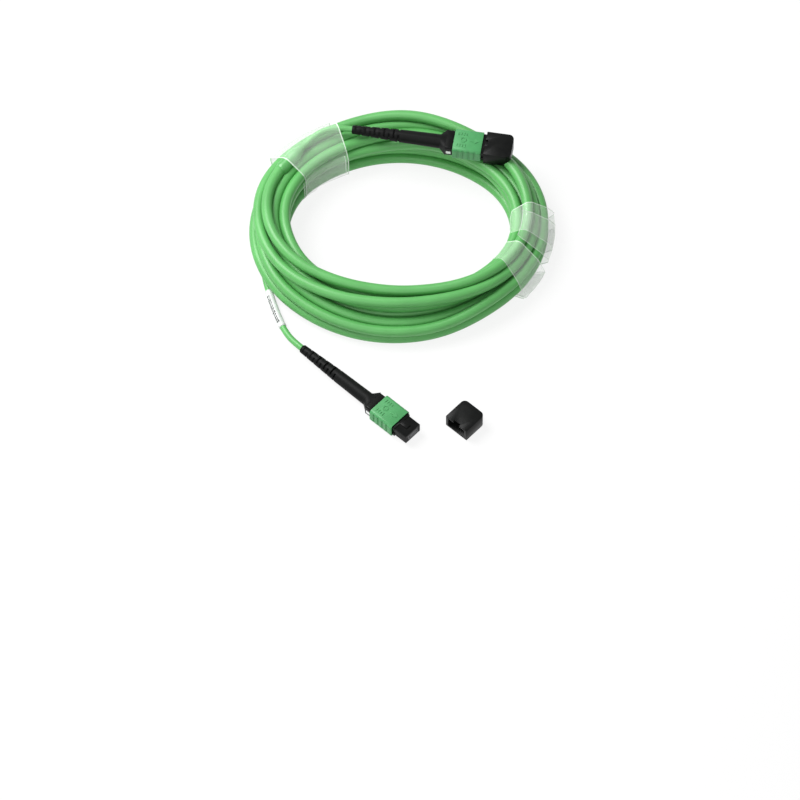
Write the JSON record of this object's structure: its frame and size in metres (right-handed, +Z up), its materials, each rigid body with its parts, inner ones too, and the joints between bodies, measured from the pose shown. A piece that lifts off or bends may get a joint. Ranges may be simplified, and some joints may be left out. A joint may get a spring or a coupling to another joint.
{
  "type": "mpo fibre connector",
  "caption": "Push-pull multi-fibre plug with sliding sleeve, angled ferrule, flex boot and removable dust cap, on a coiled cable with a capped plug at its far end.",
  "frame": {"origin": "centre of the near plug's ferrule face, on the plug's axis", "axes": "+X along the mating direction out of the nose, +Y to the key side's left seen from behind, +Z up through the key"},
  "size_m": [0.1623, 0.1467, 0.0269],
  "materials": {
    "black_plastic": "satin moulded black",
    "green_plastic": "satin moulded green",
    "ferrule_resin": "matt filled resin",
    "spacer_metal": "satin",
    "soft_black": "satin soft black",
    "spring_steel": "bright wire",
    "crimp_metal": "nickel-plated",
    "fibre": "clear",
    "cable_jacket": "satin green jacket",
    "label_white": "white sleeve",
    "shrink_green": "matt green shrink sleeve",
    "film": "clear film"
  },
  "bodies": {
    "plug": {"inner_housing": "black_plastic", "rear_body": "black_plastic", "crimp_ring": "crimp_metal", "strain_boot": "soft_black", "fibre_ribbon": "fibre", "gripped_cable": "cable_jacket", "ferrule_spring": "spring_steel", "sleeve_spring_right": "spring_steel", "sleeve_spring_left": "spring_steel", "far_inner_housing": "black_plastic", "far_rear_body": "black_plastic", "far_crimp_ring": "crimp_metal", "far_strain_boot": "soft_black", "far_fibre_ribbon": "fibre", "far_gripped_cable": "cable_jacket", "far_ferrule_spring": "spring_steel", "far_sleeve_spring_right": "spring_steel", "far_sleeve_spring_left": "spring_steel", "dust_cap": "black_plastic", "leg_cable": "cable_jacket", "label_sleeve": "label_white", "transition_sleeve": "shrink_green", "trunk_coil": "cable_jacket", "film_wrap_right": "film", "film_wrap_front_right": "film", "film_wrap_back": "film", "far_transition_sleeve": "shrink_green", "far_leg_cable": "cable_jacket"},
    "coupling": {"coupling_sleeve": "green_plastic"},
    "ferrule": {"mt_ferrule": "ferrule_resin", "ferrule_spacer": "spacer_metal", "ferrule_boot": "soft_black"},
    "far_coupling": {"far_coupling_sleeve": "green_plastic"},
    "far_ferrule": {"far_mt_ferrule": "ferrule_resin", "far_ferrule_spacer": "spacer_metal", "far_ferrule_boot": "soft_black"},
    "far_cap": {"far_dust_cap": "black_plastic"}
  },
  "joints": [
    {"name": "coupling_slide", "type": "slide", "parent": "plug", "child": "coupling", "axis": [-1, 0, 0], "range_m": [0, 0.0018], "stiffness_N_per_m": 900, "springref_m": -0.0015, "deforming": ["sleeve_spring_right", "sleeve_spring_left"]},
    {"name": "ferrule_float", "type": "slide", "parent": "plug", "child": "ferrule", "axis": [-1, 0, 0], "range_m": [0, 0.0008], "stiffness_N_per_m": 2500, "springref_m": -0.002, "deforming": ["ferrule_spring"]},
    {"name": "far_coupling_slide", "type": "slide", "parent": "plug", "child": "far_coupling", "axis": [-0.8358, -0.549, 0], "range_m": [0, 0.0018], "stiffness_N_per_m": 900, "springref_m": -0.0015, "deforming": ["far_sleeve_spring_right", "far_sleeve_spring_left"]},
    {"name": "far_ferrule_float", "type": "slide", "parent": "plug", "child": "far_ferrule", "axis": [-0.8358, -0.549, 0], "range_m": [0, 0.0008], "stiffness_N_per_m": 2500, "springref_m": -0.002, "deforming": ["far_ferrule_spring"]},
    {"name": "far_cap_pull", "type": "slide", "parent": "plug", "child": "far_cap", "axis": [0.8358, 0.549, 0], "range_m": [0, 0.03]}
  ]
}
